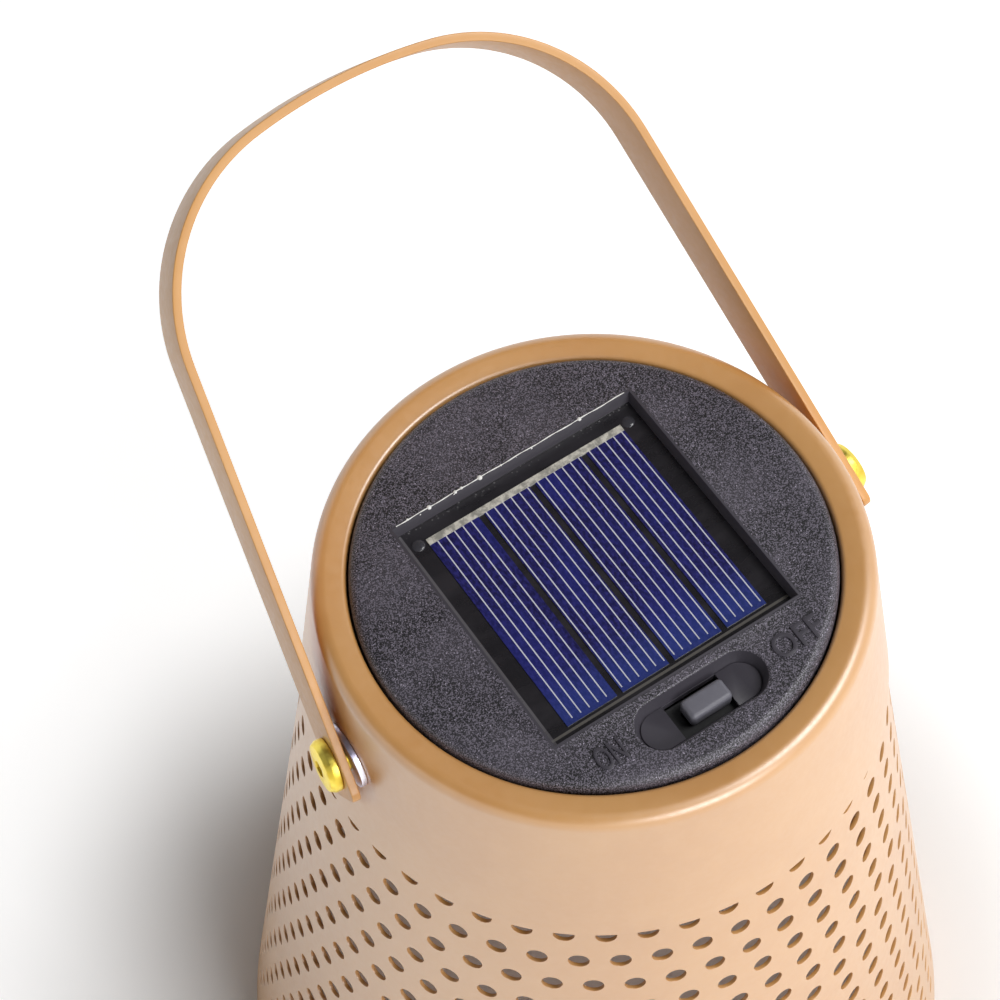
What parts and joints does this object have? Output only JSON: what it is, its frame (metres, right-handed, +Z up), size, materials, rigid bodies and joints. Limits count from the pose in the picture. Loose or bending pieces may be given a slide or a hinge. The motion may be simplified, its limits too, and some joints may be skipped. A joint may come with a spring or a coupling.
{
  "type": "solar table lamp",
  "caption": "Tapered perforated metal lantern with a strap carrying handle and a round lift-out solar module with a slide switch on top.",
  "frame": {"origin": "centre of the open base, in the plane of the floor", "axes": "+Z up along the lamp's axis; X along the handle's pivots; the switch is on the -Y side and the handle leans back toward +Y"},
  "size_m": [0.1586, 0.1664, 0.2502],
  "materials": {
    "shade": "satin camel powder coat",
    "collar": "satin camel powder coat",
    "rivet_nuts": "bright zinc",
    "handle": "satin camel powder coat",
    "pivot_screws": "bright",
    "module_cap": "spark textured",
    "seal_ring": "matte",
    "solar_panel": "gloss",
    "solar_cells": "gloss under resin",
    "cell_ribbon": "tinned",
    "panel_adhesive": "silicone",
    "housing_cup": "matte",
    "housing_screws": "zinc",
    "circuit_board": "solder mask",
    "board_screws": "zinc",
    "charge_chip": "moulded",
    "coil": "lacquered",
    "led": "clear resin",
    "led_lens": "clear",
    "switch_body": "tinned",
    "switch_knob": "satin",
    "battery": "nickel",
    "battery_sleeve": "shrink film",
    "positive_contact": "nickel",
    "negative_contact": "nickel",
    "red_wires": "insulation",
    "black_wires": "insulation",
    "battery_door": "matte",
    "door_screw": "zinc"
  },
  "bodies": {
    "lamp_body": {"shade": "shade", "collar": "collar", "rivet_nuts": "rivet_nuts"},
    "carry_handle": {"handle": "handle", "pivot_screws": "pivot_screws"},
    "solar_module": {"module_cap": "module_cap", "seal_ring": "seal_ring", "solar_panel": "solar_panel", "solar_cells": "solar_cells", "cell_ribbon": "cell_ribbon", "panel_adhesive": "panel_adhesive", "housing_cup": "housing_cup", "housing_screws": "housing_screws", "circuit_board": "circuit_board", "board_screws": "board_screws", "charge_chip": "charge_chip", "coil": "coil", "led": "led", "led_lens": "led_lens", "switch_body": "switch_body", "battery": "battery", "battery_sleeve": "battery_sleeve", "positive_contact": "positive_contact", "negative_contact": "negative_contact", "red_wires": "red_wires", "black_wires": "black_wires"},
    "slide_knob": {"switch_knob": "switch_knob"},
    "door": {"battery_door": "battery_door", "door_screw": "door_screw"}
  },
  "joints": [
    {"name": "handle_swing", "type": "hinge", "parent": "lamp_body", "child": "carry_handle", "pos_m": [0, 0, 0.1803], "axis": [1, 0, 0], "range_deg": [-26, 130]},
    {"name": "switch_slide", "type": "slide", "parent": "solar_module", "child": "slide_knob", "axis": [0.9996, 0.0272, 0], "range_m": [-0.0019, 0]},
    {"name": "module_lift", "type": "slide", "parent": "lamp_body", "child": "solar_module", "axis": [0, 0, 1], "range_m": [0, 0.045]},
    {"name": "door_release", "type": "slide", "parent": "solar_module", "child": "door", "axis": [0, 0, -1], "range_m": [0, 0.022]}
  ]
}
